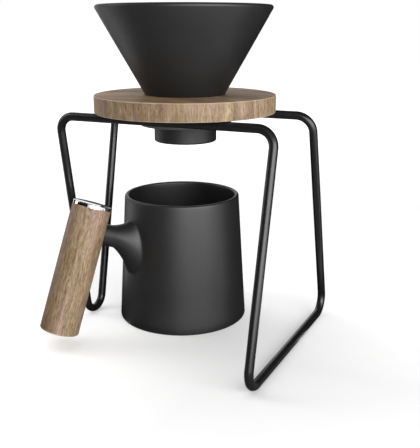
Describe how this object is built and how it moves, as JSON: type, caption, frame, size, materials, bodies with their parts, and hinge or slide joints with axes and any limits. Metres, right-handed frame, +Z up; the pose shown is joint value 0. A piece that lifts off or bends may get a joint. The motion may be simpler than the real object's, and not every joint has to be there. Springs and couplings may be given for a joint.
{
  "type": "pour-over coffee maker",
  "caption": "Pour-over coffee maker: a black ceramic dripper cone in a round wooden collar on a bent rod stand, over a flared-neck mug with a tilted wooden grip.",
  "frame": {"origin": "on the floor under the axis of the dripper cone", "axes": "+Z up along the dripper's axis; +X along the rails to the wide foot; -Y to the open front, where the mug goes in"},
  "size_m": [0.172, 0.1588, 0.2358],
  "materials": {
    "rod_black": "satin black powder coat",
    "collar_wood": "oiled greyish walnut",
    "ring_black": "satin black",
    "screw_steel": "blackened",
    "dripper_ceramic": "matt black",
    "mug_ceramic": "matt black",
    "grip_wood": "oiled greyish walnut",
    "cap_chrome": "polished",
    "pin_steel": "bright drawn",
    "insert_brass": "turned",
    "bush_rubber": "matt"
  },
  "bodies": {
    "stand": {"wide_hoop": "rod_black", "narrow_hoop": "rod_black"},
    "collar": {"wood_collar": "collar_wood", "base_ring": "ring_black", "ring_screws": "screw_steel"},
    "dripper": {"dripper_cone": "dripper_ceramic"},
    "mug": {"mug_body": "mug_ceramic", "handle_grip": "grip_wood", "handle_cap": "cap_chrome", "handle_pin": "pin_steel", "pin_insert": "insert_brass", "tenon_bush": "bush_rubber"}
  },
  "joints": [
    {"name": "collar_lift", "type": "slide", "parent": "stand", "child": "collar", "axis": [0, 0, 1], "range_m": [0, 0.12]},
    {"name": "dripper_lift", "type": "slide", "parent": "collar", "child": "dripper", "axis": [0, 0, 1], "range_m": [0, 0.1]},
    {"name": "mug_draw", "type": "slide", "parent": "stand", "child": "mug", "axis": [0, -1, 0], "range_m": [0, 0.2]}
  ]
}
